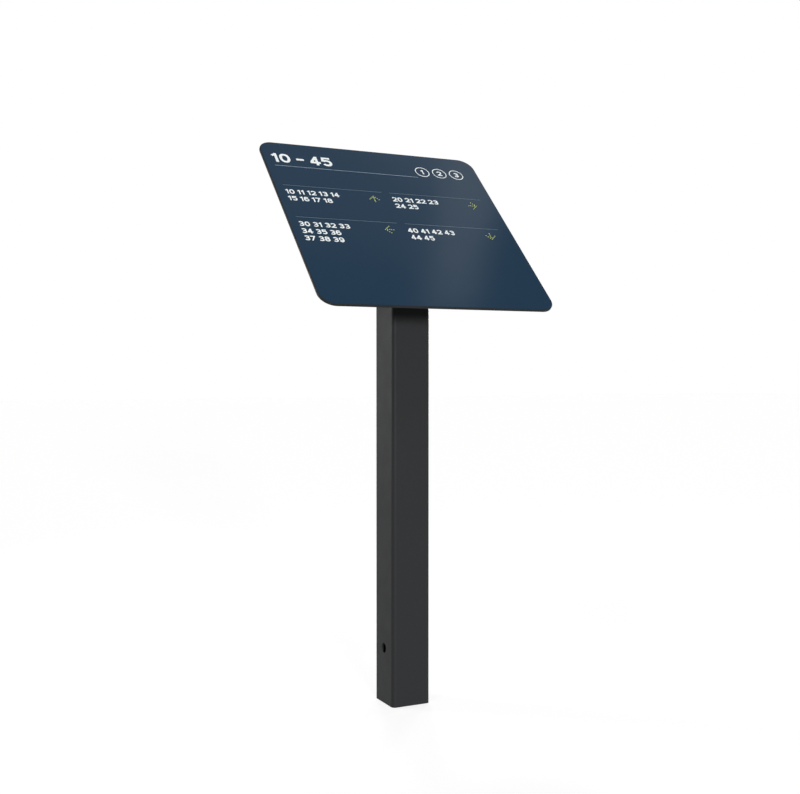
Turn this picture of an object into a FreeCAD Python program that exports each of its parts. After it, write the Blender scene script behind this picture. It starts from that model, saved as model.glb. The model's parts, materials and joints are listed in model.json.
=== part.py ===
import FreeCAD, Part
import os

import Sketcher

# A lectern sign: a square steel post, cut off at the slope of the sign, a steel plate welded on the cut, and
# an aluminium panel with a printed film, held from behind by four blind studs.
#
# The origin is on the post's axis at its foot. +X is the reader's right, -Y faces the reader and +Z is up.
# The head frame starts where the axis meets the cut: "across" is +X, "along" runs up the slope and "above" is
# the slope's outward normal. Lengths are in mm and the tilt is in degrees.

SIZES = (
    ("post_side", 100, "outside width of the square tube"),
    ("post_wall", 5, "wall of the tube"),
    ("post_corner", 10, "outside radius of the tube's long corners"),
    ("least_corner", 1, "smallest inside radius of the tube's long corners"),
    ("post_height", 1150, "from the foot to the slanted cut, on the axis"),
    ("tilt", 45, "slope of the cut, plate and panel against the ground"),
    ("bar_hole", 24, "diameter of the cross hole for an anchor bar"),
    ("bar_hole_height", 134, "from the foot to the middle of the cross hole"),
    ("plate_side", 300, "width and length of the head plate"),
    ("plate_thick", 5, "thickness of the head plate"),
    ("plate_corner", 20, "corner radius of the head plate"),
    ("plate_edge", 1, "rounding of the head plate's edges"),
    ("weld_leg", 6, "how far the bead reaches out from the tube, and down from the plate"),
    ("weld_toe", 1.2, "thickness left at the two toes of the bead"),
    ("gasket_thick", 1, "thickness of the rubber sheet between plate and panel"),
    ("gasket_margin", 2, "flat metal left showing round the rubber"),
    ("gasket_room", 1, "room round each stud's foot in the rubber"),
    ("panel_width", 600, "panel, side to side"),
    ("panel_length", 600, "panel, along the slope"),
    ("panel_thick", 6, "thickness of the panel"),
    ("panel_corner", 38, "corner radius of the panel"),
    ("panel_edge", 1, "rounding of the panel's edges"),
    ("film_thick", 0.3, "thickness of the printed film with its clear cover"),
    ("film_margin", 1, "flat metal left showing round the film"),
    ("stud_edge", 30, "from the plate's edges to each stud's axis"),
    ("stud_diameter", 8, "diameter of the studs"),
    ("foot_reach", 1, "how far the stud's welded foot stands out from its side"),
    ("foot_room", 0.2, "room under the foot, within the rubber's thickness"),
    ("stud_end", 3, "how far the stud stands out of its nut"),
    ("stud_chamfer", 1, "bevel on the stud's end"),
    ("stud_room", 0.2, "radial room of a stud in its bush and washer"),
    ("thread_room", 0.05, "radial room of a stud in its nut"),
    ("bush_wall", 1.3, "wall of the bush's sleeve"),
    ("bush_room", 0.2, "radial room of the sleeve in the plate's hole"),
    ("bush_rim_reach", 3.5, "how far the bush's rim stands out from its sleeve"),
    ("bush_rim_thick", 1.5, "thickness of the bush's rim"),
    ("washer_width", 3.8, "from the washer's hole to its outside"),
    ("washer_thick", 1.6, "thickness of the washers"),
    ("nut_wall", 2.5, "from the stud's side to the nut's flats"),
    ("nut_hex_height", 6.4, "height of the nut's hexagon"),
    ("nut_bevel", 0.8, "how far the bevels cut into the hexagon's corners"),
    ("nut_bevel_slope", 30, "slope of the bevels against the nut's faces"),
    ("collar_height", 1.8, "height of the nut's round collar"),
    ("collar_wall", 0.9, "wall of the collar round the nylon ring"),
    ("ring_width", 1.05, "from the nylon ring's hole to its outside"),
    ("ring_thick", 1.5, "thickness of the nylon ring"),
)

# Each stud's name, and its side across and along the slope.
STUDS = (
    ("lower_left", -1, -1),
    ("lower_right", 1, -1),
    ("upper_left", -1, 1),
    ("upper_right", 1, 1),
)

HALF_POST = "Sizes.post_side / 2"
INNER_HALF = "(Sizes.post_side / 2 - Sizes.post_wall)"
HALF_PLATE = "Sizes.plate_side / 2"
FOOT_RADIUS = "(Sizes.stud_diameter / 2 + Sizes.foot_reach)"
PANEL_BACK = "(Sizes.plate_thick + Sizes.gasket_thick)"
PANEL_FACE = "(Sizes.plate_thick + Sizes.gasket_thick + Sizes.panel_thick)"
STUD_REACH = "(Sizes.plate_side / 2 - Sizes.stud_edge)"
STUD_BORE = "(Sizes.stud_diameter / 2 + Sizes.stud_room)"
SLEEVE = "(Sizes.stud_diameter / 2 + Sizes.stud_room + Sizes.bush_wall)"
PLATE_HOLE = "(Sizes.stud_diameter / 2 + Sizes.stud_room + Sizes.bush_wall + Sizes.bush_room)"
NUT_HEIGHT = "(Sizes.nut_hex_height + Sizes.collar_height)"
UNDER_PLATE = "(Sizes.bush_rim_thick + Sizes.washer_thick)"
NUT_BORE = "(Sizes.stud_diameter / 2 + Sizes.thread_room)"
RING_OUTSIDE = "(Sizes.stud_diameter / 2 + Sizes.thread_room + Sizes.ring_width)"

# How far a cutting sketch runs past the metal that it cuts, and the slack of comparisons.
PAST = 20
NEAR = 1e-5

doc = FreeCAD.newDocument("lectern_sign")


def make_sheet():
    """The driving dimensions, one row each: name, value, meaning."""
    sheet = doc.addObject("Spreadsheet::Sheet", "Sizes")
    for row, (name, value, meaning) in enumerate(SIZES, start=1):
        sheet.set(f"A{row}", name)
        sheet.set(f"B{row}", str(value))
        sheet.set(f"C{row}", meaning)
        sheet.setAlias(f"B{row}", name)
    doc.recompute()
    return sheet


SHEET = make_sheet()


def size_of(expression):
    """The number that an expression on the sheet comes to."""
    return float(SHEET.evalExpression(expression))


def new_body(name):
    body = doc.addObject("PartDesign::Body", name)
    body.Label = name
    return body


def new_sketch(body, name, plane):
    """An empty sketch on one of the body's own origin planes."""
    sketch = body.newObject("Sketcher::SketchObject", f"{body.Name}_{name}")
    support = [item for item in body.Origin.OriginFeatures if item.Role == plane][0]
    sketch.AttachmentSupport = [(support, "")]
    sketch.MapMode = "FlatFace"
    return sketch


def tie(sketch, kind, references, expression):
    """Adds a dimension to the sketch and binds it to the sheet."""
    index = sketch.addConstraint(Sketcher.Constraint(kind, *references, size_of(expression)))
    sketch.setExpression(f"Constraints[{index}]", expression)


def pin_point(sketch, element, point, x, y):
    """Holds a point of the sketch at two expressions, or on an axis where one is nought."""
    for kind, expression, axis in (("DistanceX", x, -2), ("DistanceY", y, -1)):
        if abs(size_of(expression)) < NEAR:
            sketch.addConstraint(Sketcher.Constraint("PointOnObject", element, point, axis))
        else:
            tie(sketch, kind, (-1, 1, element, point), expression)


def draw_polygon(sketch, corners):
    """A closed outline of straight lines. Each corner is a pair of expressions."""
    places = [FreeCAD.Vector(size_of(x), size_of(y), 0) for x, y in corners]
    count = len(corners)
    for index in range(count):
        sketch.addGeometry(Part.LineSegment(places[index], places[(index + 1) % count]))
    for index in range(count):
        sketch.addConstraint(Sketcher.Constraint("Coincident", index, 2, (index + 1) % count, 1))
    for index, (x, y) in enumerate(corners):
        pin_point(sketch, index, 1, x, y)


def draw_rectangle(sketch, half_width, half_length):
    """A rectangle about the sketch's origin."""
    left, bottom = f"-({half_width})", f"-({half_length})"
    corners = [(left, bottom), (half_width, bottom), (half_width, half_length), (left, half_length)]
    draw_polygon(sketch, corners)


def draw_circle(sketch, radius, x="0", y="0"):
    centre = FreeCAD.Vector(size_of(x), size_of(y), 0)
    circle = sketch.addGeometry(Part.Circle(centre, FreeCAD.Vector(0, 0, 1), size_of(radius)))
    tie(sketch, "Radius", (circle,), radius)
    pin_point(sketch, circle, 3, x, y)


def finish_feature(body, feature):
    """Makes the feature count as the body's latest state."""
    body.Tip = feature
    doc.recompute()


def pad(body, sketch, length):
    """Raises the sketch along its normal."""
    feature = body.newObject("PartDesign::Pad", f"{sketch.Name}_pad")
    feature.Profile = sketch
    feature.setExpression("Length", length)
    finish_feature(body, feature)


def cut(body, sketch, length, sides="One side", along_normal=False):
    """Cuts the sketch out over a length, and makes sure that metal went away."""
    before = body.Shape.Volume
    feature = body.newObject("PartDesign::Pocket", f"{sketch.Name}_cut")
    feature.Profile = sketch
    feature.SideType = sides
    feature.Reversed = along_normal
    feature.setExpression("Length", length)
    finish_feature(body, feature)
    if body.Shape.Volume > before - NEAR:
        raise RuntimeError(f"{feature.Name} cuts nothing")


def turn(body, sketch, kind="PartDesign::Revolution"):
    """Turns a profile on the XZ plane about the body's Z axis, to add metal or, as a groove, to cut it."""
    feature = body.newObject(kind, f"{sketch.Name}_turned")
    feature.Profile = sketch
    feature.ReferenceAxis = (sketch, ["V_Axis"])
    feature.Angle = 360
    finish_feature(body, feature)


def dress(body, kind, name, edges, size_name, expression):
    """Rounds or bevels the named edges of the body as it stands."""
    if not edges:
        raise RuntimeError(f"{body.Name}: {name} finds no edges")
    base = body.Tip
    feature = body.newObject(kind, f"{body.Name}_{name}")
    feature.Base = (base, edges)
    feature.setExpression(size_name, expression)
    finish_feature(body, feature)


def edges_where(body, test):
    """Names of the edges whose ends and middle all pass the test."""
    names = []
    for index, edge in enumerate(body.Shape.Edges, start=1):
        middle = edge.valueAt((edge.FirstParameter + edge.LastParameter) / 2)
        points = [vertex.Point for vertex in edge.Vertexes] + [middle]
        if all(test(point) for point in points):
            names.append(f"Edge{index}")
    return names


def upright_edges(body, half_width, half_length):
    """The edges along Z at the corners of a rectangle about the origin."""
    reach_x, reach_y = size_of(half_width), size_of(half_length)

    def at_corner(point):
        return abs(abs(point.x) - reach_x) < NEAR and abs(abs(point.y) - reach_y) < NEAR

    return edges_where(body, at_corner)


def rim_edges(body, height, reach, rise=0.0):
    """The edges further out than a square about the origin, in a plane that rises towards +Y."""

    def on_rim(point):
        in_plane = abs(point.z - height - rise * point.y) < NEAR
        return in_plane and max(abs(point.x), abs(point.y)) > reach + NEAR

    return edges_where(body, on_rim)


def round_plate(name, half_width, half_length, thickness, corner):
    """A flat plate with round corners, its underside on the body's XY plane."""
    body = new_body(name)
    outline = new_sketch(body, "outline", "XY_Plane")
    draw_rectangle(outline, half_width, half_length)
    pad(body, outline, thickness)
    corners = upright_edges(body, half_width, half_length)
    dress(body, "PartDesign::Fillet", "corners", corners, "Radius", corner)
    return body


def ease_edges(body, thickness, half_size, corner, radius):
    """Takes the sharpness off a plate's outline, below and above."""
    reach = size_of(half_size) - size_of(corner)
    for face, height in (("lower", 0.0), ("upper", size_of(thickness))):
        edges = rim_edges(body, height, reach)
        dress(body, "PartDesign::Fillet", f"{face}_edge", edges, "Radius", radius)


def drill_for_studs(body, radius, thickness):
    """One hole for each stud, in a plate whose sketch plane is its underside."""
    holes = new_sketch(body, "stud_holes", "XY_Plane")
    for name, across, along in STUDS:
        draw_circle(holes, radius, f"{across} * {STUD_REACH}", f"{along} * {STUD_REACH}")
    cut(body, holes, thickness, along_normal=True)


def place_on_head(body, above, across="0", along="0"):
    """Tilts a body with the sign and puts its origin at a point of the head frame."""
    slope = FreeCAD.Rotation(FreeCAD.Vector(1, 0, 0), size_of("Sizes.tilt"))
    body.Placement = FreeCAD.Placement(FreeCAD.Vector(0, 0, 0), slope)
    depth = f"({along}) * cos(Sizes.tilt) - ({above}) * sin(Sizes.tilt)"
    height = f"Sizes.post_height + ({along}) * sin(Sizes.tilt) + ({above}) * cos(Sizes.tilt)"
    body.setExpression("Placement.Rotation.Angle", "Sizes.tilt")
    body.setExpression("Placement.Base.x", across)
    body.setExpression("Placement.Base.y", depth)
    body.setExpression("Placement.Base.z", height)


def square_tube(name, outer_half, outer_corner, inner_half, inner_corner):
    """A hollow square section on the post's axis, as tall as the slanted cut at its back."""
    body = new_body(name)
    length = f"Sizes.post_height + {outer_half} * tan(Sizes.tilt)"
    outside = new_sketch(body, "outside", "XY_Plane")
    draw_rectangle(outside, outer_half, outer_half)
    pad(body, outside, length)
    corners = upright_edges(body, outer_half, outer_half)
    dress(body, "PartDesign::Fillet", "corners", corners, "Radius", outer_corner)
    inside = new_sketch(body, "inside", "XY_Plane")
    draw_rectangle(inside, inner_half, inner_half)
    cut(body, inside, length, along_normal=True)
    corners = upright_edges(body, inner_half, inner_half)
    dress(body, "PartDesign::Fillet", "inner_corners", corners, "Radius", inner_corner)
    return body


def trim_to_slope(body, name, half_size, drop, far):
    """Cuts off what lies between a plane a drop below the post's slanted cut and a far height."""
    reach = f"({half_size} + {PAST})"
    low = f"Sizes.post_height - {reach} * tan(Sizes.tilt) - ({drop})"
    high = f"Sizes.post_height + {reach} * tan(Sizes.tilt) - ({drop})"
    sketch = new_sketch(body, name, "YZ_Plane")
    draw_polygon(sketch, [(f"-{reach}", low), (reach, high), (reach, far), (f"-{reach}", far)])
    cut(body, sketch, f"2 * {reach}", sides="Symmetric")


def over_the_top(half_size):
    """A height clear above anything on the post's axis of this half size."""
    return f"Sizes.post_height + ({half_size} + 2 * {PAST}) * (1 + tan(Sizes.tilt))"


def make_post_tube():
    """The post: hollow, open at the foot, cut to the slope at the top, with a cross hole near the foot."""
    inner_corner = "max(Sizes.post_corner - Sizes.post_wall; Sizes.least_corner)"
    body = square_tube("post_tube", HALF_POST, "Sizes.post_corner", INNER_HALF, inner_corner)
    trim_to_slope(body, "mitre", HALF_POST, "0", over_the_top(HALF_POST))
    hole = new_sketch(body, "bar_hole", "YZ_Plane")
    draw_circle(hole, "Sizes.bar_hole / 2", y="Sizes.bar_hole_height")
    cut(body, hole, f"Sizes.post_side + {PAST}", sides="Symmetric")
    return body


def make_head_weld():
    """Bead round the tube's top, wide at the plate and thin at the tube."""
    half_size = f"({HALF_POST} + Sizes.weld_leg)"
    corner = "Sizes.post_corner + Sizes.weld_leg"
    body = square_tube("head_weld", half_size, corner, HALF_POST, "Sizes.post_corner")
    trim_to_slope(body, "top", half_size, "0", over_the_top(half_size))
    drop = "Sizes.weld_leg / cos(Sizes.tilt)"
    trim_to_slope(body, "bottom", half_size, drop, f"-{PAST}")
    height = size_of(f"Sizes.post_height - {drop}")
    edges = rim_edges(body, height, size_of(HALF_POST), rise=size_of("tan(Sizes.tilt)"))
    dress(body, "PartDesign::Chamfer", "slope", edges, "Size", "Sizes.weld_leg - Sizes.weld_toe")
    return body


def make_head_plate():
    """Steel plate welded on the post's slanted end, with a hole for each bush."""
    body = round_plate("head_plate", HALF_PLATE, HALF_PLATE, "Sizes.plate_thick", "Sizes.plate_corner")
    ease_edges(body, "Sizes.plate_thick", HALF_PLATE, "Sizes.plate_corner", "Sizes.plate_edge")
    drill_for_studs(body, PLATE_HOLE, "Sizes.plate_thick")
    place_on_head(body, "0")
    return body


def make_isolation_gasket():
    """Rubber sheet that keeps the two metals apart, open round each stud's foot."""
    inset = "(Sizes.plate_edge + Sizes.gasket_margin)"
    half_size = f"({HALF_PLATE} - {inset})"
    corner = f"Sizes.plate_corner - {inset}"
    body = round_plate("isolation_gasket", half_size, half_size, "Sizes.gasket_thick", corner)
    drill_for_studs(body, f"({FOOT_RADIUS} + Sizes.gasket_room)", "Sizes.gasket_thick")
    place_on_head(body, "Sizes.plate_thick")
    return body


def make_sign_panel():
    """The aluminium panel, whole on its face because its studs are blind."""
    half_width, half_length = "Sizes.panel_width / 2", "Sizes.panel_length / 2"
    body = round_plate("sign_panel", half_width, half_length, "Sizes.panel_thick", "Sizes.panel_corner")
    shorter = f"min({half_width}; {half_length})"
    ease_edges(body, "Sizes.panel_thick", shorter, "Sizes.panel_corner", "Sizes.panel_edge")
    place_on_head(body, PANEL_BACK)
    return body


def make_face_film():
    """The printed film on the panel, a little smaller than the panel's flat face."""
    inset = "(Sizes.panel_edge + Sizes.film_margin)"
    half_width = f"(Sizes.panel_width / 2 - {inset})"
    half_length = f"(Sizes.panel_length / 2 - {inset})"
    corner = f"Sizes.panel_corner - {inset}"
    body = round_plate("face_film", half_width, half_length, "Sizes.film_thick", corner)
    place_on_head(body, PANEL_FACE)
    return body


def turned_part(name, profile):
    """A round part about its own Z axis, from a profile of radius and height expressions."""
    body = new_body(name)
    sketch = new_sketch(body, "profile", "XZ_Plane")
    draw_polygon(sketch, profile)
    turn(body, sketch)
    return body


def make_stud(name):
    """Blind stud with a flat welded foot. It hangs from the panel's back and ends below the nut."""
    radius = "Sizes.stud_diameter / 2"
    foot_low = "-(Sizes.gasket_thick - Sizes.foot_room)"
    tip = f"-({PANEL_BACK} + {UNDER_PLATE} + {NUT_HEIGHT} + Sizes.stud_end)"
    profile = [
        ("0", "0"),
        (FOOT_RADIUS, "0"),
        (FOOT_RADIUS, foot_low),
        (radius, foot_low),
        (radius, f"{tip} + Sizes.stud_chamfer"),
        (f"{radius} - Sizes.stud_chamfer", tip),
        ("0", tip),
    ]
    return turned_part(name, profile)


def make_bush(name):
    """Nylon bush: a sleeve through the plate and a rim under it."""
    rim = f"{SLEEVE} + Sizes.bush_rim_reach"
    profile = [
        (STUD_BORE, "Sizes.plate_thick"),
        (SLEEVE, "Sizes.plate_thick"),
        (SLEEVE, "0"),
        (rim, "0"),
        (rim, "-Sizes.bush_rim_thick"),
        (STUD_BORE, "-Sizes.bush_rim_thick"),
    ]
    return turned_part(name, profile)


def make_washer(name):
    """Plain washer, its upper face on the body's XY plane."""
    outside = f"{STUD_BORE} + Sizes.washer_width"
    low = "-Sizes.washer_thick"
    return turned_part(name, [(STUD_BORE, "0"), (outside, "0"), (outside, low), (STUD_BORE, low)])


def draw_hexagon(sketch, flats):
    """A hexagon about the sketch's origin, with two flats square to its second axis."""
    point, half_side, half_flats = f"({flats}) / sqrt(3)", f"({flats}) / sqrt(12)", f"({flats}) / 2"
    upper = [(point, "0"), (half_side, half_flats), (f"-({half_side})", half_flats)]
    lower = [(f"-({point})", "0"), (f"-({half_side})", f"-({half_flats})"), (half_side, f"-({half_flats})")]
    draw_polygon(sketch, upper + lower)


def make_nut(name):
    """Self-locking nut: a hexagon with bevelled corners and a round collar that holds a nylon ring.

    It is drawn from its seat up, and its placement turns it to face down from the plate.
    """
    body = new_body(name)
    hexagon = new_sketch(body, "hexagon", "XY_Plane")
    flats = "(Sizes.stud_diameter + 2 * Sizes.nut_wall)"
    draw_hexagon(hexagon, flats)
    pad(body, hexagon, "Sizes.nut_hex_height")
    inner = f"({flats} / sqrt(3) - Sizes.nut_bevel)"
    outer = f"({inner} + {PAST})"
    rise = f"{PAST} * tan(Sizes.nut_bevel_slope)"
    for end, level, way in (("seat", "0", 1), ("crown", "Sizes.nut_hex_height", -1)):
        bevel = new_sketch(body, f"{end}_bevel", "XZ_Plane")
        side = f"({level}) + {way} * {rise}"
        beyond = f"({level}) - {way} * {PAST}"
        draw_polygon(bevel, [(inner, level), (outer, side), (outer, beyond), (inner, beyond)])
        turn(body, bevel, "PartDesign::Groove")
    collar = new_sketch(body, "collar", "XZ_Plane")
    outside = f"{RING_OUTSIDE} + Sizes.collar_wall"
    hex_top = "Sizes.nut_hex_height"
    draw_polygon(collar, [("0", hex_top), (outside, hex_top), (outside, NUT_HEIGHT), ("0", NUT_HEIGHT)])
    turn(body, collar)
    recess = new_sketch(body, "ring_recess", "XZ_Plane")
    seat = f"{NUT_HEIGHT} - Sizes.ring_thick"
    draw_polygon(recess, [("0", seat), (RING_OUTSIDE, seat), (RING_OUTSIDE, NUT_HEIGHT), ("0", NUT_HEIGHT)])
    turn(body, recess, "PartDesign::Groove")
    bore = new_sketch(body, "bore", "XY_Plane")
    draw_circle(bore, NUT_BORE)
    cut(body, bore, NUT_HEIGHT, along_normal=True)
    return body


def make_ring(name):
    """Nylon ring in the nut's collar, which grips the stud."""
    low, high = f"{NUT_HEIGHT} - Sizes.ring_thick", NUT_HEIGHT
    profile = [(NUT_BORE, low), (RING_OUTSIDE, low), (RING_OUTSIDE, high), (NUT_BORE, high)]
    return turned_part(name, profile)


def place_on_stud(body, across, along, above, facing_down=False):
    """Puts a small part on a stud's axis in the head frame, upright or turned over."""
    place_on_head(body, above, f"{across} * {STUD_REACH}", f"{along} * {STUD_REACH}")
    if facing_down:
        body.setExpression("Placement.Rotation.Angle", "Sizes.tilt + 180")


def make_stud_sets():
    """On each stud, from the panel down: stud, bush, washer, nut and the nut's ring."""
    bodies = []
    nut_seat = f"-{UNDER_PLATE}"
    for corner, across, along in STUDS:
        stack = (
            (make_stud(f"panel_stud_{corner}"), PANEL_BACK, False),
            (make_bush(f"stud_bush_{corner}"), "0", False),
            (make_washer(f"stud_washer_{corner}"), "-Sizes.bush_rim_thick", False),
            (make_nut(f"stud_nut_{corner}"), nut_seat, True),
            (make_ring(f"nut_ring_{corner}"), nut_seat, True),
        )
        for body, above, facing_down in stack:
            place_on_stud(body, across, along, above, facing_down)
            bodies.append(body)
    return bodies


def check_document():
    """Stops on any object that failed to compute."""
    for item in doc.Objects:
        if "Invalid" in item.State or "Error" in item.State:
            raise RuntimeError(f"{item.Name} failed: {item.State}")


def export(bodies):
    """Checks each part and writes it as one file."""
    for body in bodies:
        shape = body.Shape
        if shape.isNull() or not shape.isValid() or len(shape.Solids) != 1:
            raise RuntimeError(f"{body.Label} isn't one valid solid")
    os.makedirs("parts", exist_ok=True)
    for body in bodies:
        body.Shape.exportStep(f"parts/{body.Label}.step")
        print(body.Label, round(body.Shape.Volume), "mm3")


parts = [
    make_post_tube(),
    make_head_weld(),
    make_head_plate(),
    make_isolation_gasket(),
    make_sign_panel(),
    make_face_film(),
]
parts += make_stud_sets()
doc.recompute()
check_document()
export(parts)
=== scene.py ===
import json
import math

import bmesh
import bpy
from mathutils import Matrix, Vector
from mathutils.geometry import delaunay_2d_cdt


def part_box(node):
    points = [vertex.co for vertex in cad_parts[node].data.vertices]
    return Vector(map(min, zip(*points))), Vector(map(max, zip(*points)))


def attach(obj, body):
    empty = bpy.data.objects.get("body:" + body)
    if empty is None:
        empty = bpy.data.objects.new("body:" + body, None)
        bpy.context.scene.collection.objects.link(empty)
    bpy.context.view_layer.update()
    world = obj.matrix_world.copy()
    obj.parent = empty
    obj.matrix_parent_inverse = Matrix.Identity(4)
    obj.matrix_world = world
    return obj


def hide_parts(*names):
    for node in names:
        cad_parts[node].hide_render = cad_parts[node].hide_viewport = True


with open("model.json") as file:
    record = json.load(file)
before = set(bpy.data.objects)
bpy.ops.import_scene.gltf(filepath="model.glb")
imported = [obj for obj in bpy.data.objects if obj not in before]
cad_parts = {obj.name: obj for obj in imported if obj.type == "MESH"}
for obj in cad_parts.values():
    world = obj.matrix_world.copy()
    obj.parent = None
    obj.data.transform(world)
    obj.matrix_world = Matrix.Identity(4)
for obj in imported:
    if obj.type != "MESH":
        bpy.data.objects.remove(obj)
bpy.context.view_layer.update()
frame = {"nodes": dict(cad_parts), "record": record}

# A lectern sign on one square post. The solids carry the shapes. This script gives them their finish and
# adds what is printed on the face, the ripples of the weld and the threads of the studs.
#
# On the face, places are in mm from the panel's left edge and from its top edge. In the head frame, X is
# across the sign, Y runs up its slope and Z is the slope's outward normal. It starts where the post's axis
# meets its cut.

MM = 0.001
TILT = math.radians(45)
SLOPE = Matrix.Rotation(TILT, 3, "X")
ABOVE = SLOPE @ Vector((0, 0, 1))

# The smallest distance between two points of a flat outline that counts, and the kind of triangulation that
# keeps only what lies inside the outlines.
NEAR = 1e-7
INSIDE_ONLY = 1


def centre_of(node):
    low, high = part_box(node)
    return (low + high) / 2


def width_of(node):
    low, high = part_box(node)
    return high.x - low.x


def levels_of(node):
    """The lowest and the highest level of a solid, measured from the origin along the slope's normal."""
    levels = [vertex.co.dot(ABOVE) for vertex in frame["nodes"][node].data.vertices]
    return min(levels), max(levels)


PANEL_SIDE = width_of("sign_panel")
HALF_POST = width_of("post_tube") / 2
POST_CORNER = 10 * MM

# The head frame lies on the head plate's underside.
HEAD_LEVEL = levels_of("head_plate")[0]
HEAD = Matrix.Translation((0, 0, HEAD_LEVEL / ABOVE.z)) @ SLOPE.to_4x4()

# The face frame lies on the film, and starts where the panel's left and top edges would meet.
FILM_UNDER, FILM_TOP = levels_of("face_film")
FACE_MIDDLE = centre_of("face_film") + ABOVE * (FILM_TOP - FILM_UNDER) / 2
FACE_CORNER = Matrix.Translation((-PANEL_SIDE / 2, PANEL_SIDE / 2, 0))
FACE = Matrix.Translation(FACE_MIDDLE) @ SLOPE.to_4x4() @ FACE_CORNER


# The camera, at the place and angle that the photograph was taken from. It turns from +Y towards +X and
# climbs by so many degrees. Its lens is in mm, and the nearest and the farthest place that it sees are in
# metres.

CAMERA_PLACE = Vector((-1.1933, -2.4239, 0.8004))
CAMERA_TURN = 26.09
CAMERA_CLIMB = -1.267
CAMERA_LENS = 50.07
CAMERA_RANGE = (0.05, 100)


def make_camera():
    data = bpy.data.cameras.new("camera")
    data.lens = CAMERA_LENS
    data.clip_start, data.clip_end = CAMERA_RANGE
    camera = bpy.data.objects.new("camera", data)
    bpy.context.scene.collection.objects.link(camera)
    camera.location = CAMERA_PLACE
    camera.rotation_euler = (math.radians(90 + CAMERA_CLIMB), 0, math.radians(-CAMERA_TURN))
    bpy.context.scene.camera = camera


# Materials.


def linear(value):
    """One channel of an sRGB colour, from 0 to 1, as light."""
    return value / 12.92 if value <= 0.04045 else ((value + 0.055) / 1.055) ** 2.4


def colour(code):
    """An sRGB hex colour as the linear numbers that the shaders take."""
    return tuple(linear(int(code[i:i + 2], 16) / 255) for i in (1, 3, 5)) + (1.0,)


def per_metre(size_mm):
    """The scale of a pattern that repeats about every so many mm."""
    return 1 / (size_mm * MM)


def add(tree, kind, inputs=None, **settings):
    """Adds a node. An input is a plain value or the socket that feeds it, by name or by place."""
    node = tree.nodes.new(kind)
    for name, value in settings.items():
        setattr(node, name, value)
    for name, value in (inputs or {}).items():
        if isinstance(value, bpy.types.NodeSocket):
            tree.links.new(value, node.inputs[name])
        else:
            node.inputs[name].default_value = value
    return node


# A cloudy pattern spends nearly all its time between these two values.
CLOUD_LOW, CLOUD_HIGH = 0.3, 0.7


def surface_finish(name, tones, tone_mm, roughness, dulling_mm, grains, depth_mm, values):
    """A finish that varies as a real surface does.

    Its colour drifts between two tones and its roughness between two values, each in patches of so many mm.
    Its relief adds up one or more grains, each with a size in mm and a share of the depth. The values are the
    shader's own and the same all over.
    """
    material = bpy.data.materials.new(name)
    material.use_nodes = True
    material.diffuse_color = colour(tones[0])
    tree = material.node_tree
    shader = tree.nodes["Principled BSDF"]
    for socket, value in values.items():
        shader.inputs[socket].default_value = value
    place = add(tree, "ShaderNodeTexCoord").outputs["Object"]

    patches = add(tree, "ShaderNodeTexNoise", {"Vector": place, "Scale": per_metre(tone_mm)})
    ramp = add(tree, "ShaderNodeValToRGB", {"Fac": patches.outputs["Fac"]})
    for stop, position, tone in zip(ramp.color_ramp.elements, (CLOUD_LOW, CLOUD_HIGH), tones):
        stop.position = position
        stop.color = colour(tone)
    tree.links.new(ramp.outputs["Color"], shader.inputs["Base Color"])

    dulling = add(tree, "ShaderNodeTexNoise", {"Vector": place, "Scale": per_metre(dulling_mm)})
    run = {
        "Value": dulling.outputs["Fac"],
        "From Min": CLOUD_LOW,
        "From Max": CLOUD_HIGH,
        "To Min": roughness[0],
        "To Max": roughness[1],
    }
    tree.links.new(add(tree, "ShaderNodeMapRange", run).outputs["Result"], shader.inputs["Roughness"])

    height = 0.0
    for size_mm, share in grains:
        grain = add(tree, "ShaderNodeTexNoise", {"Vector": place, "Scale": per_metre(size_mm)})
        terms = {0: grain.outputs["Fac"], 1: share, 2: height}
        height = add(tree, "ShaderNodeMath", terms, operation="MULTIPLY_ADD").outputs["Value"]
    relief = add(tree, "ShaderNodeBump", {"Height": height, "Distance": depth_mm * MM})
    tree.links.new(relief.outputs["Normal"], shader.inputs["Normal"])
    return material


def powder_coat(name, tones, roughness):
    """Polyester powder baked on metal: a dull dark skin, low swells of orange peel and a dry grain.

    The grain scatters most of the gloss, which the low specular level stands for.
    """
    return surface_finish(
        name,
        tones,
        tone_mm=1.2,
        roughness=(roughness - 0.03, roughness + 0.03),
        dulling_mm=40.0,
        grains=((3.0, 1.0), (0.5, 0.25)),
        depth_mm=0.016,
        values={"Specular IOR Level": 0.08},
    )


# The clear acrylic laminate over all that is printed. Its embossed grain is drawn coarser than the real one
# of about 0.2 mm, so that it shows close up.
LAMINATE = {
    "grains": ((0.8, 1.0),),
    "depth_mm": 0.002,
    "values": {"IOR": 1.49},
}


def printed_film():
    """Blue printed vinyl under a clear satin laminate: a soft even gloss over a very fine embossed grain."""
    return surface_finish(
        "printed_film",
        ("#233B50", "#253D53"),
        tone_mm=1.5,
        roughness=(0.16, 0.18),
        dulling_mm=60.0,
        **LAMINATE,
    )


def printed_ink(name, tones):
    """Solid printed ink under the same laminate, a touch uneven as a thick ink lies."""
    return surface_finish(
        name,
        tones,
        tone_mm=2.0,
        roughness=(0.3, 0.36),
        dulling_mm=8.0,
        **LAMINATE,
    )


def rubber():
    """EPDM sheet, cut from the roll: dead matt and nearly black, with a cloth-like grain from its mould."""
    return surface_finish(
        "epdm_sheet",
        ("#191919", "#202020"),
        tone_mm=3.0,
        roughness=(0.78, 0.88),
        dulling_mm=5.0,
        grains=((0.4, 1.0),),
        depth_mm=0.03,
        values={"Specular IOR Level": 0.3},
    )


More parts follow.
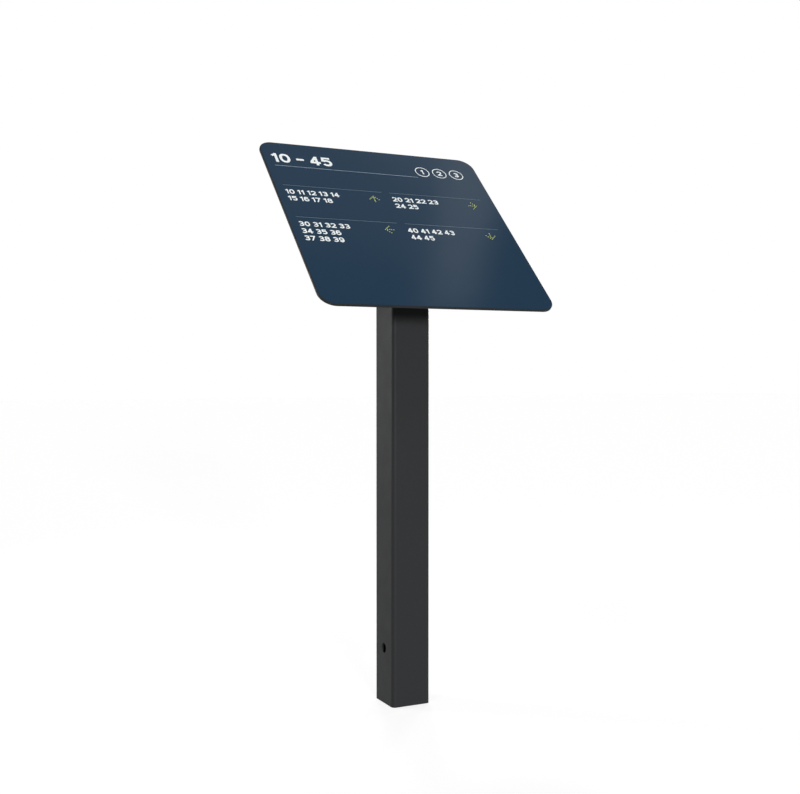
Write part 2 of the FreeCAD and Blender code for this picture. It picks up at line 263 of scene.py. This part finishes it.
def moulded_nylon(name, tones):
    """Moulded nylon: a soft satin skin with faint flow marks."""
    return surface_finish(
        name,
        tones,
        tone_mm=4.0,
        roughness=(0.4, 0.5),
        dulling_mm=6.0,
        grains=((2.0, 0.6), (0.5, 0.4)),
        depth_mm=0.01,
        values={"IOR": 1.53},
    )


def stainless_steel(name, tones, roughness):
    """Stainless fasteners as they are sold: bright grey metal, dulled by fine turning and rolling marks.

    The marks are drawn coarser than the real ones of under 0.1 mm, so that they show close up.
    """
    return surface_finish(
        name,
        tones,
        tone_mm=3.0,
        roughness=(roughness - 0.06, roughness + 0.06),
        dulling_mm=1.0,
        grains=((0.25, 1.0),),
        depth_mm=0.004,
        values={"Metallic": 1.0},
    )


# Geometry trees.


def geometry_tree(name, sizes):
    """An empty geometry tree with a named input for each of its sizes."""
    tree = bpy.data.node_groups.new(name, "GeometryNodeTree")
    for way in ("INPUT", "OUTPUT"):
        tree.interface.new_socket("Geometry", in_out=way, socket_type="NodeSocketGeometry")
    for size_name, value in sizes.items():
        kind = "NodeSocketInt" if isinstance(value, int) else "NodeSocketFloat"
        tree.interface.new_socket(size_name, in_out="INPUT", socket_type=kind)
    return tree, add(tree, "NodeGroupInput").outputs


def end_tree(tree, geometry, material):
    """Turns instances into plain faces and gives them their material."""
    plain = add(tree, "GeometryNodeRealizeInstances", {"Geometry": geometry}).outputs["Geometry"]
    dressed = add(tree, "GeometryNodeSetMaterial", {"Geometry": plain, "Material": material})
    add(tree, "NodeGroupOutput", {"Geometry": dressed.outputs["Geometry"]})


def link_piece(name, mesh):
    """A finished mesh as a piece that stands at the origin and rides on the sign."""
    piece = bpy.data.objects.new(name, mesh)
    bpy.context.scene.collection.objects.link(piece)
    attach(piece, "root")
    return piece


def grow(name, tree, sizes, start_mesh, place):
    """Runs a geometry tree on a mesh and keeps what it makes as a plain piece, put in its place."""
    carrier = bpy.data.objects.new(name + "_tree", start_mesh)
    bpy.context.scene.collection.objects.link(carrier)
    modifier = carrier.modifiers.new("tree", "NODES")
    modifier.node_group = tree
    for item in tree.interface.items_tree:
        if item.in_out == "INPUT" and item.name in sizes:
            modifier[item.identifier] = sizes[item.name]
    evaluated = carrier.evaluated_get(bpy.context.evaluated_depsgraph_get())
    mesh = bpy.data.meshes.new_from_object(evaluated)
    mesh.name = name
    mesh.transform(place)
    bpy.data.objects.remove(carrier)
    return link_piece(name, mesh)


# Numerals: wide and bold, in units of their own height. They are drawn as strokes between the middle lines of
# their outer strokes, so that a zero runs from 0 to NUMERAL_WIDTH and from 0 to NUMERAL_HEIGHT.

STROKE = 0.2
NUMERAL_WIDTH = 0.56
NUMERAL_HEIGHT = 1 - STROKE
NUMERAL_GAP = 0.1
WORD_GAP = 0.34
SQUARENESS = 0.12
ARC_STEP = 12


def arc(x, y, radius_x, radius_y, start, end, squareness=SQUARENESS):
    """Points on part of an oval, between two angles in degrees. A squareness of 0 makes it an ellipse."""
    steps = max(2, round(abs(end - start) / ARC_STEP))
    angles = [math.radians(start + (end - start) * i / steps) for i in range(steps + 1)]
    points = []
    for across, up in ((math.cos(angle), math.sin(angle)) for angle in angles):
        points.append(Vector((
            x + radius_x * math.copysign(abs(across) ** (1 - squareness), across),
            y + radius_y * math.copysign(abs(up) ** (1 - squareness), up),
        )))
    return points


def line(*points):
    return [Vector(point) for point in points]


def ribbon(path, width, level_ends=False):
    """Pairs of points on both sides of a path, mitred where it bends and closed where it ends at its start.

    Level ends are cut along the writing instead of square to the stroke.
    """
    closed = (path[0] - path[-1]).length < NEAR
    pairs = []
    for index, point in enumerate(path):
        at_end = index in (0, len(path) - 1)
        before = path[-2] if closed and index == 0 else path[max(index - 1, 0)]
        after = path[1] if closed and at_end and index else path[min(index + 1, len(path) - 1)]
        ways = [way.normalized() for way in (point - before, after - point) if way.length > NEAR]
        way = sum(ways, Vector((0, 0))).normalized()
        side = Vector((-way.y, way.x))
        if at_end and level_ends:
            side = Vector((math.copysign(1, side.x), 0)) / abs(side.x)
        else:
            side /= side.dot(Vector((-ways[0].y, ways[0].x)))
        pairs.append((point + side * width / 2, point - side * width / 2))
    return pairs


def six():
    """The strokes of a six: a closed bowl, and a back that runs on over the top."""
    middle, bowl, top = NUMERAL_WIDTH / 2, 0.25, 0.32
    back = arc(middle, NUMERAL_HEIGHT - top, middle, top, 30, 180)
    return [
        (arc(middle, bowl, middle, bowl, 0, 360), False),
        (back + line((0, bowl)), False),
    ]


def half_turn(strokes):
    """The same strokes upside down, which makes a nine of a six."""
    corner = Vector((NUMERAL_WIDTH, NUMERAL_HEIGHT))
    return [([corner - point for point in path], level) for path, level in strokes]


def numeral_strokes():
    """Each sign's width and its strokes: a path, and whether its ends are cut level."""
    wide, high, middle, half = NUMERAL_WIDTH, NUMERAL_HEIGHT, NUMERAL_WIDTH / 2, STROKE / 2
    upper = 0.19
    waist = high - 2 * upper
    low_bowl = waist / 2
    crossbar = 0.2
    dash, dash_level = 0.36, 0.38
    return {
        "0": (wide, [(arc(middle, high / 2, middle, high / 2, 0, 360), False)]),
        "1": (0.26, [
            (line((0.22, -half), (0.22, high + half)), True),
            (line((-0.06, high - 0.17), (0.2, high - 0.04)), False),
        ]),
        "2": (wide, [
            (arc(middle, high - 0.23, middle, 0.23, 170, -35) + line((0.08, 0.03)), False),
            (line((-half, 0), (wide + half, 0)), False),
        ]),
        "3": (wide, [
            (arc(middle, high - upper, middle - 0.02, upper, 155, -90) + line((0.16, waist)), False),
            (line((0.16, waist)) + arc(middle, low_bowl, middle, low_bowl, 90, -155), False),
        ]),
        "4": (wide, [
            (line((0.4, -half), (0.4, high + half)), True),
            (line((-half, crossbar), (wide + half, crossbar)), False),
            (line((-0.02, crossbar), (0.36, high)), False),
        ]),
        "5": (wide, [
            (line((wide + 0.03, high), (0.06, high), (0.0, 0.4)), False),
            (arc(middle, 0.26, middle, 0.26, 145, -150), False),
        ]),
        "6": (wide, six()),
        "7": (wide, [
            (line((-half, high), (wide + 0.08, high)), False),
            (line((wide - 0.01, high + half), (0.12, -half)), True),
        ]),
        "8": (wide, [
            (arc(middle, high - upper, middle - 0.03, upper, 0, 360), False),
            (arc(middle, low_bowl, middle, low_bowl, 0, 360), False),
        ]),
        "9": (wide, half_turn(six())),
        "–": (dash, [(line((-half, dash_level), (dash + half, dash_level)), False)]),
    }


NUMERALS = numeral_strokes()


def write(text, left, baseline, height):
    """The strips of a line of numerals, in mm on the face. The baseline is so far down from the top edge."""
    strips = []
    cursor = left
    for sign in text:
        if sign == " ":
            cursor += WORD_GAP * height
            continue
        width, strokes = NUMERALS[sign]
        corner = Vector((cursor + STROKE / 2 * height, -baseline + STROKE / 2 * height))
        for path, level_ends in strokes:
            placed = [corner + point * height for point in path]
            strips.append(ribbon(placed, STROKE * height, level_ends))
        cursor += (width + STROKE + NUMERAL_GAP) * height
    return strips


def rule(left, right, level, width):
    """A straight printed line across the face."""
    return ribbon(line((left, -level), (right, -level)), width)


def raise_print(name, strips, height_mm, material):
    """Flat strips merged into one thin closed plate on the face, as a printed layer lies on it."""
    points, quads = [], []
    for strip in strips:
        for left, right in strip:
            points += [right, left]
        first = len(points) - 2 * len(strip)
        starts = range(first, len(points) - 2, 2)
        quads += [[i, i + 2, i + 3, i + 1] for i in starts]
    flat, _, faces, _, _, sources = delaunay_2d_cdt(points, [], quads, INSIDE_ONLY, NEAR)
    mesh = bmesh.new()
    corners = [mesh.verts.new((x * MM, y * MM, 0)) for x, y in flat]
    for face, source in zip(faces, sources):
        if source:
            mesh.faces.new([corners[i] for i in face])
    loose = [vert for vert in mesh.verts if not vert.link_faces]
    bmesh.ops.delete(mesh, geom=loose, context="VERTS")
    raised = bmesh.ops.extrude_face_region(mesh, geom=mesh.faces[:])["geom"]
    top = [item for item in raised if isinstance(item, bmesh.types.BMVert)]
    bmesh.ops.translate(mesh, vec=(0, 0, height_mm * MM), verts=top)
    bmesh.ops.recalc_face_normals(mesh, faces=mesh.faces[:])
    plate = bpy.data.meshes.new(name)
    mesh.to_mesh(plate)
    mesh.free()
    plate.transform(FACE)
    plate.materials.append(material)
    piece = link_piece(name, plate)
    return piece


# What is printed on the face: a heading over its rule, and two columns of numbers, each under two rules.

PRINT_HEIGHT = 0.12

# Each column's left and right end, and the levels of the rules that both columns have.
MARGIN = 22.7
LEFT_COLUMN = (MARGIN, 281)
RIGHT_COLUMN = (302, 563)
BLOCK_RULES = (177, 299)
BLOCK_RULE_WIDTH = 1.0

# The heading's rule: left end, right end, level and width.
HEADING_RULE = (MARGIN, 411, 98, 1.2)

# The heading: its text, left end, baseline and height.
HEADING = ("10 – 45", MARGIN, 83.5, 36)

# Each block: its lines, its column and the rule above it.
BLOCK_TEXT_HEIGHT = 17
FIRST_LINE_DROP = 33.5
LINE_DROP = 26
BLOCKS = (
    (("10 11 12 13 14", "15 16 17 18"), LEFT_COLUMN, BLOCK_RULES[0]),
    (("20 21 22 23", "24 25"), RIGHT_COLUMN, BLOCK_RULES[0]),
    (("30 31 32 33", "34 35 36", "37 38 39"), LEFT_COLUMN, BLOCK_RULES[1]),
    (("40 41 42 43", "44 45"), RIGHT_COLUMN, BLOCK_RULES[1]),
)

# The rings' numbers and middles, and how far down they stand.
RINGS = (("1", 432), ("2", 482), ("3", 532))
RING_LEVEL = 73
RING_RADIUS = 19
RING_WIDTH = 2.4
RING_TEXT_HEIGHT = 18


def print_numbers(material):
    raise_print("heading_numbers", write(*HEADING), PRINT_HEIGHT, material)
    strips = []
    for lines, column, rule_level in BLOCKS:
        for index, text in enumerate(lines):
            baseline = rule_level + FIRST_LINE_DROP + index * LINE_DROP
            strips += write(text, column[0], baseline, BLOCK_TEXT_HEIGHT)
    raise_print("block_numbers", strips, PRINT_HEIGHT, material)


def print_heading_rule(material):
    raise_print("heading_rule", [rule(*HEADING_RULE)], PRINT_HEIGHT, material)


def print_block_rules(material):
    strips = []
    for column in (LEFT_COLUMN, RIGHT_COLUMN):
        strips += [rule(*column, level, BLOCK_RULE_WIDTH) for level in BLOCK_RULES]
    raise_print("block_rules", strips, PRINT_HEIGHT, material)


def print_ring_numbers(material):
    """Three plain rings at the top right, each with its number."""
    strips = []
    for number, middle in RINGS:
        ring = arc(middle, -RING_LEVEL, RING_RADIUS, RING_RADIUS, 0, 360, squareness=0)
        strips.append(ribbon(ring, RING_WIDTH))
        width = (NUMERALS[number][0] + STROKE) * RING_TEXT_HEIGHT
        strips += write(number, middle - width / 2, RING_LEVEL + RING_TEXT_HEIGHT / 2, RING_TEXT_HEIGHT)
    raise_print("ring_numbers", strips, PRINT_HEIGHT, material)


# The direction arrows: rows of printed dots, an arrow at the right of each block.

ARROW_SIZES = {
    "Stem dots": 5,
    "Stem pitch": 5.4 * MM,
    "Head dots": 4,
    "Head pitch": 4.1 * MM,
    "Dot radius": 1.45 * MM,
    "Dot sides": 16,
    "Dot height": PRINT_HEIGHT * MM,
}

# The tip is so many stem pitches over the arrow's middle, which is the middle dot of its stem.
TIP_PITCHES = (ARROW_SIZES["Stem dots"] - 1) / 2

# Each arrow's middle, and its turn from pointing up in degrees.
ARROWS = (
    (252, 207, 0),
    (529, 205, -90),
    (253, 326, 90),
    (531, 328, 180),
)


def arrow_tree(material):
    """Dots in three rows that meet at the tip, set on each point and turned by the point's own angle."""
    tree, sizes = geometry_tree("dotted_arrow", ARROW_SIZES)
    stem, head = sizes["Stem pitch"], sizes["Head pitch"]
    reach = add(tree, "ShaderNodeMath", {0: stem, 1: TIP_PITCHES}, operation="MULTIPLY").outputs["Value"]
    tip = add(tree, "ShaderNodeCombineXYZ", {"Y": reach}).outputs["Vector"]
    stem_back = add(tree, "ShaderNodeMath", {0: stem, 1: -1.0}, operation="MULTIPLY").outputs["Value"]
    head_back = add(tree, "ShaderNodeMath", {0: head, 1: -1.0}, operation="MULTIPLY").outputs["Value"]
    steps = (
        ("Stem dots", {"Y": stem_back}),
        ("Head dots", {"X": head, "Y": head_back}),
        ("Head dots", {"X": head_back, "Y": head_back}),
    )
    rows = add(tree, "GeometryNodeJoinGeometry")
    for count, step in steps:
        offset = add(tree, "ShaderNodeCombineXYZ", step).outputs["Vector"]
        row = {"Count": sizes[count], "Start Location": tip, "Offset": offset}
        tree.links.new(add(tree, "GeometryNodeMeshLine", row).outputs["Mesh"], rows.inputs["Geometry"])
    joined = {"Geometry": rows.outputs["Geometry"], "Distance": sizes["Dot height"]}
    merged = add(tree, "GeometryNodeMergeByDistance", joined).outputs["Geometry"]
    disc = {"Vertices": sizes["Dot sides"], "Radius": sizes["Dot radius"], "Depth": sizes["Dot height"]}
    dot = add(tree, "GeometryNodeMeshCylinder", disc).outputs["Mesh"]
    dots = add(tree, "GeometryNodeInstanceOnPoints", {"Points": merged, "Instance": dot})
    turn = add(tree, "GeometryNodeInputNamedAttribute", {"Name": "turn"}, data_type="FLOAT")
    angles = add(tree, "ShaderNodeCombineXYZ", {"Z": turn.outputs["Attribute"]}).outputs["Vector"]
    arrows = {"Points": sizes["Geometry"], "Instance": dots.outputs["Instances"], "Rotation": angles}
    end_tree(tree, add(tree, "GeometryNodeInstanceOnPoints", arrows).outputs["Instances"], material)
    return tree


def print_arrows(material):
    places = bpy.data.meshes.new("arrow_places")
    lift = PRINT_HEIGHT / 2 * MM
    places.from_pydata([(x * MM, -y * MM, lift) for x, y, turn in ARROWS], [], [])
    turns = places.attributes.new("turn", "FLOAT", "POINT")
    turns.data.foreach_set("value", [math.radians(turn) for x, y, turn in ARROWS])
    arrows = grow("dotted_arrows", arrow_tree(material), ARROW_SIZES, places, FACE)


# Behind the panel: the weld bead and the threaded studs.

WELD_LEG = 6 * MM
WELD_BULGE = 0.8 * MM

# The middle of a ripple lags behind its ends by so many pitches.
RIPPLE_PITCH = 2.6 * MM
RIPPLE_DEPTH = 0.5 * MM
RIPPLE_LAG = 0.9

# The faces across the bead, and their length along it.
BEAD_ROWS = 8
BEAD_STEP = 0.65 * MM


def post_outline(step):
    """Points round the outside of the square post in plan, each with its outward direction."""
    flat = HALF_POST - POST_CORNER
    outline = []
    for quarter in range(4):
        turn = Matrix.Rotation(quarter * math.pi / 2, 2)
        side_points = round(2 * flat / step)
        for i in range(side_points):
            along = -flat + 2 * flat * i / side_points
            outline.append((turn @ Vector((HALF_POST, along)), turn @ Vector((1, 0))))
        arc_points = round(POST_CORNER * math.pi / 2 / step)
        for i in range(arc_points):
            angle = math.pi / 2 * i / arc_points
            outward = Vector((math.cos(angle), math.sin(angle)))
            outline.append((turn @ (Vector((flat, flat)) + outward * POST_CORNER), turn @ outward))
    return outline


def on_cut(plan):
    """The point of the post's slanted cut over a place in plan."""
    return Vector((plan.x, plan.y, HEAD.translation.z + plan.y * math.tan(TILT)))


def weld_bead(material):
    """The bead between post and plate: a bulging fillet with crescent ripples that run round the post."""
    outline = post_outline(BEAD_STEP)
    cut = [on_cut(point) for point, outward in outline]
    lengths = [0.0]
    for point, following in zip(cut, cut[1:] + cut[:1]):
        lengths.append(lengths[-1] + (following - point).length)
    ripples = round(lengths[-1] / RIPPLE_PITCH)
    drop = WELD_LEG / math.cos(TILT)
    mesh = bmesh.new()
    rings = []
    for (point, outward), length in zip(outline, lengths):
        ring = []
        for row in range(BEAD_ROWS + 1):
            share = row / BEAD_ROWS
            crown = math.sin(math.pi * share)
            phase = math.pi * (ripples * length / lengths[-1] - RIPPLE_LAG * crown)
            # The bulge goes as far out as it goes down.
            bulge = crown * (WELD_BULGE - RIPPLE_DEPTH * (1 - abs(math.sin(phase)))) / math.sqrt(2)
            place = on_cut(point + outward * (WELD_LEG * share + bulge))
            place.z -= max(drop * (1 - share) + bulge, 0)
            ring.append(mesh.verts.new(place))
        ring.append(mesh.verts.new(on_cut(point)))
        rings.append(ring)
    for ring, following in zip(rings, rings[1:] + rings[:1]):
        for i in range(len(ring)):
            j = (i + 1) % len(ring)
            mesh.faces.new((ring[i], following[i], following[j], ring[j]))
    bmesh.ops.recalc_face_normals(mesh, faces=mesh.faces[:])
    for face in mesh.faces:
        face.smooth = True
    bead = bpy.data.meshes.new("weld_bead")
    mesh.to_mesh(bead)
    mesh.free()
    bead.materials.append(material)
    piece = link_piece("weld_bead", bead)
    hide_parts("head_weld")


# The studs are M8, with its usual pitch of 1.25 mm.
STUDS = ["panel_stud_" + corner for corner in ("lower_left", "lower_right", "upper_left", "upper_right")]
STUD_TIP, STUD_TOP = levels_of(STUDS[0])
TIP_BEVEL = 0.8 * MM
THREAD_PITCH = 1.25 * MM
THREAD_LENGTH = 19 * MM
STUD_SIZES = {
    "Stud spacing": (centre_of(STUDS[1]) - centre_of(STUDS[0])).length,
    "Core length": STUD_TOP - STUD_TIP - TIP_BEVEL,
    "Core radius": 3.35 * MM,
    "Core sides": 32,
    "Tip length": TIP_BEVEL,
    "Tip radius": 2.55 * MM,
    "Foot radius": width_of(STUDS[0]) / 2,
    "Foot thickness": 0.8 * MM,
    "Thread radius": 3.7 * MM,
    "Thread size": 0.36 * MM,
    "Thread length": THREAD_LENGTH,
    "Thread turns": THREAD_LENGTH / THREAD_PITCH,
    "Thread sides": 4,
    "Steps in a turn": 24,
}


def stud_tree(material):
    """A stud hanging from Z = 0: flat foot, core, bevelled tip and a helix of thread, set at four corners."""
    tree, sizes = geometry_tree("threaded_stud", STUD_SIZES)

    def lowered(shape, length, share):
        """A shape moved down by a share of a length."""
        down = add(tree, "ShaderNodeMath", {0: length, 1: -share}, operation="MULTIPLY").outputs["Value"]
        shift = add(tree, "ShaderNodeCombineXYZ", {"Z": down}).outputs["Vector"]
        moved = {"Geometry": shape, "Translation": shift}
        return add(tree, "GeometryNodeTransform", moved).outputs["Geometry"]

    def cylinder(radius, depth):
        """A closed cylinder whose top is at Z = 0."""
        round_bar = {"Vertices": sizes["Core sides"], "Radius": radius, "Depth": depth}
        return lowered(add(tree, "GeometryNodeMeshCylinder", round_bar).outputs["Mesh"], depth, 0.5)

    spiral = {
        "Resolution": sizes["Steps in a turn"],
        "Rotations": sizes["Thread turns"],
        "Start Radius": sizes["Thread radius"],
        "End Radius": sizes["Thread radius"],
        "Height": sizes["Thread length"],
    }
    helix = add(tree, "GeometryNodeCurveSpiral", spiral).outputs["Curve"]
    ridge = {"Resolution": sizes["Thread sides"], "Radius": sizes["Thread size"]}
    section = add(tree, "GeometryNodeCurvePrimitiveCircle", ridge).outputs["Curve"]
    swept = {"Curve": helix, "Profile Curve": section, "Fill Caps": True}
    thread = add(tree, "GeometryNodeCurveToMesh", swept).outputs["Mesh"]
    bevelled_end = {
        "Vertices": sizes["Core sides"],
        "Radius Top": sizes["Tip radius"],
        "Radius Bottom": sizes["Core radius"],
        "Depth": sizes["Tip length"],
    }
    tip = add(tree, "GeometryNodeMeshCone", bevelled_end).outputs["Mesh"]
    upside_down = {"Geometry": tip, "Rotation": (math.pi, 0, 0)}
    tip = add(tree, "GeometryNodeTransform", upside_down).outputs["Geometry"]
    parts = (
        cylinder(sizes["Foot radius"], sizes["Foot thickness"]),
        cylinder(sizes["Core radius"], sizes["Core length"]),
        lowered(tip, sizes["Core length"], 1.0),
        lowered(thread, sizes["Core length"], 1.0),
    )
    stud = add(tree, "GeometryNodeJoinGeometry")
    for part in parts:
        tree.links.new(part, stud.inputs["Geometry"])
    spacing = sizes["Stud spacing"]
    grid = {"Size X": spacing, "Size Y": spacing, "Vertices X": 2, "Vertices Y": 2}
    corners = add(tree, "GeometryNodeMeshGrid", grid).outputs["Mesh"]
    studs = {"Points": corners, "Instance": stud.outputs["Geometry"]}
    end_tree(tree, add(tree, "GeometryNodeInstanceOnPoints", studs).outputs["Instances"], material)
    return tree


def threaded_studs(material):
    place = HEAD @ Matrix.Translation((0, 0, STUD_TOP - HEAD_LEVEL))
    start = bpy.data.meshes.new("stud_start")
    studs = grow("threaded_studs", stud_tree(material), STUD_SIZES, start, place)
    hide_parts(*STUDS)


# The finishes of the solids that stay as they are.


def finish_nodes(materials):
    """Gives each solid the material of its slot in the record."""
    slots = {part["node"]: part["material_slot"] for part in frame["record"]["subparts"]}
    for name, node in frame["nodes"].items():
        if slots[name] not in materials:
            continue
        node.data.materials.clear()
        node.data.materials.append(materials[slots[name]])


# The floor and the surroundings. A level of 1 is white.

FLOOR_SIZE = 60

# How much of the light the floor sends back, and how much it adds for the eye, which makes it white.
FLOOR_SHADE = 0.4
FLOOR_GLOW = 0.777

# The level of the even light on the sign, then what a reflection shows: walls, and a ceiling over them.
# The walls end and the ceiling starts at these sines of the climb.
ROOM_LIGHT = 0.12
WALL = 1.0
CEILING = 0.03
WALL_END = 0.15
CEILING_START = 0.55


def seen_straight(tree, path):
    """1 where the camera sees a surface, also through glass, and 0 where only its light counts."""
    rays = {0: path["Is Camera Ray"], 1: path["Is Transmission Ray"]}
    return add(tree, "ShaderNodeMath", rays, operation="ADD").outputs["Value"]


def make_floor():
    """A floor that looks white, also in reflections, and keeps the shadow of what stands on it."""
    mesh = bpy.data.meshes.new("floor")
    half = FLOOR_SIZE / 2
    corners = [(-half, -half, 0), (half, -half, 0), (half, half, 0), (-half, half, 0)]
    mesh.from_pydata(corners, [], [(0, 1, 2, 3)])
    floor = bpy.data.objects.new("floor", mesh)
    bpy.context.scene.collection.objects.link(floor)
    material = bpy.data.materials.new("pale_floor")
    material.use_nodes = True
    tree = material.node_tree
    tree.nodes.clear()
    path = add(tree, "ShaderNodeLightPath").outputs
    rays = {0: seen_straight(tree, path), 1: path["Is Glossy Ray"]}
    seen = add(tree, "ShaderNodeMath", rays, operation="ADD").outputs["Value"]
    glow = add(tree, "ShaderNodeMath", {0: seen, 1: FLOOR_GLOW}, operation="MULTIPLY").outputs["Value"]
    paper = add(tree, "ShaderNodeBsdfDiffuse", {"Color": (FLOOR_SHADE, FLOOR_SHADE, FLOOR_SHADE, 1)})
    white = add(tree, "ShaderNodeEmission", {"Color": (1, 1, 1, 1), "Strength": glow})
    both = add(tree, "ShaderNodeAddShader", {0: paper.outputs["BSDF"], 1: white.outputs["Emission"]})
    add(tree, "ShaderNodeOutputMaterial", {"Surface": both.outputs["Shader"]})
    mesh.materials.append(material)


def make_world():
    """White behind the sign, white walls and a dark ceiling in its reflections, and even light on it."""
    world = bpy.data.worlds.new("room")
    bpy.context.scene.world = world
    world.use_nodes = True
    tree = world.node_tree
    tree.nodes.clear()
    path = add(tree, "ShaderNodeLightPath").outputs
    way = add(tree, "ShaderNodeTexCoord").outputs["Generated"]
    climb = {
        "Value": add(tree, "ShaderNodeSeparateXYZ", {"Vector": way}).outputs["Z"],
        "From Min": WALL_END,
        "From Max": CEILING_START,
        "To Min": WALL,
        "To Max": CEILING,
    }
    room = add(tree, "ShaderNodeMapRange", climb).outputs["Result"]
    # A mix has its share at place 0, and the two levels that it goes between at places 2 and 3.
    lit = {0: path["Is Glossy Ray"], 2: ROOM_LIGHT, 3: room}
    lit_level = add(tree, "ShaderNodeMix", lit).outputs["Result"]
    seen = {0: seen_straight(tree, path), 2: lit_level, 3: 1.0}
    strength = add(tree, "ShaderNodeMix", seen).outputs["Result"]
    background = add(tree, "ShaderNodeBackground", {"Color": (1, 1, 1, 1), "Strength": strength})
    add(tree, "ShaderNodeOutputWorld", {"Surface": background.outputs["Background"]})


# The lamps.

# Far lamps: name, compass angle, climb, width and level. The compass is 0 behind the sign and 90 at its
# right. The width is the angle that the lamp fills. A level is how bright a lamp alone makes a white card
# that faces it, and all angles are in degrees.
FAR_LAMPS = (
    ("front_low", 190, 6, 10, 0.74),
    ("front_key", 184, 56, 6, 0.08),
    ("left_key", 237, 46, 6, 0.08),
    ("right_front", 138, 8, 6, 0.07),
    ("right_low", 76, 20, 6, 0.10),
    ("back_low", 40, 8, 10, 0.50),
    ("back_top", 20, 60, 6, 0.12),
)

# A card at the back left, which gleams on the post's left side.
SIDE_CARD_COMPASS = 312
SIDE_CARD_DISTANCE = 2.4
SIDE_CARD_HEIGHT = 1.0
SIDE_CARD_WIDTH = 0.5
SIDE_CARD_LENGTH = 0.6
SIDE_CARD_LEVEL = 0.37

# Soft boxes that shine down: name, place across and back, width, length, turn and glow, where 1 is white.
CEILING_HEIGHT = 3.5
CEILING_LAMPS = (
    ("strip", 1.53, 0.77, 0.28, 1.72, -8, 0.48),
    ("strip_end", 1.39, 0.83, 0.62, 0.94, 61, 0.29),
    ("soft_side", 0.86, 0.83, 0.92, 1.33, 0, 0.12),
)


def direction(compass, climb):
    across, up = math.radians(compass), math.radians(climb)
    return Vector((math.sin(across) * math.cos(up), math.cos(across) * math.cos(up), math.sin(up)))


def add_lamp(name, kind, energy, **settings):
    """A lamp that shines down from the origin. The camera doesn't see it, and a reflection does."""
    data = bpy.data.lights.new(name, kind)
    data.energy = energy
    for setting, value in settings.items():
        setattr(data, setting, value)
    lamp = bpy.data.objects.new(name, data)
    bpy.context.scene.collection.objects.link(lamp)
    lamp.visible_camera = False
    return lamp


def make_lamps():
    for name, compass, climb, width, level in FAR_LAMPS:
        lamp = add_lamp(name, "SUN", level * math.pi, angle=math.radians(width))
        lamp.rotation_euler = direction(compass, climb).to_track_quat("Z", "Y").to_euler()
    way = direction(SIDE_CARD_COMPASS, 0)
    watts = SIDE_CARD_LEVEL * (math.pi * SIDE_CARD_DISTANCE) ** 2
    card_size = {"size": SIDE_CARD_WIDTH, "size_y": SIDE_CARD_LENGTH}
    card = add_lamp("side_card", "AREA", watts, shape="RECTANGLE", **card_size)
    card.location = way * SIDE_CARD_DISTANCE + Vector((0, 0, SIDE_CARD_HEIGHT))
    card.rotation_euler = way.to_track_quat("Z", "Y").to_euler()
    for name, across, back, width, length, turn, glow in CEILING_LAMPS:
        watts = glow * math.pi * width * length
        lamp = add_lamp(name, "AREA", watts, shape="RECTANGLE", size=width, size_y=length)
        lamp.location = (across, back, CEILING_HEIGHT)
        lamp.rotation_euler.z = math.radians(turn)


make_camera()

charcoal_coat = powder_coat("charcoal_powder_coat", ("#2B2C2D", "#2F3031"), 0.5)
finish_nodes({
    "post_coat": charcoal_coat,
    "plate_coat": charcoal_coat,
    "panel_coat": charcoal_coat,
    "printed_film": printed_film(),
    "gasket_rubber": rubber(),
    "washer_steel": stainless_steel("stainless_washer", ("#C2C1BD", "#CBCAC6"), 0.3),
    "nut_steel": stainless_steel("stainless_nut", ("#B9B8B4", "#C4C3BF"), 0.32),
    "bush_nylon": moulded_nylon("black_nylon", ("#202021", "#262627")),
    "ring_nylon": moulded_nylon("natural_nylon", ("#CCCBC2", "#D6D5CC")),
})

white_ink = printed_ink("white_ink", ("#F4FAFB", "#F8FDFE"))
print_numbers(white_ink)
print_ring_numbers(white_ink)
print_heading_rule(printed_ink("pale_blue_ink", ("#9FB0C1", "#A4B5C5")))
print_block_rules(printed_ink("grey_blue_ink", ("#6F7F8C", "#74848F")))
print_arrows(printed_ink("yellow_green_ink", ("#CCD978", "#D0DD7E")))
weld_bead(charcoal_coat)
threaded_studs(stainless_steel("stainless_stud", ("#BDBCB8", "#C6C5C1"), 0.34))

make_floor()
make_world()
make_lamps()
bpy.context.scene.view_settings.view_transform = "Standard"
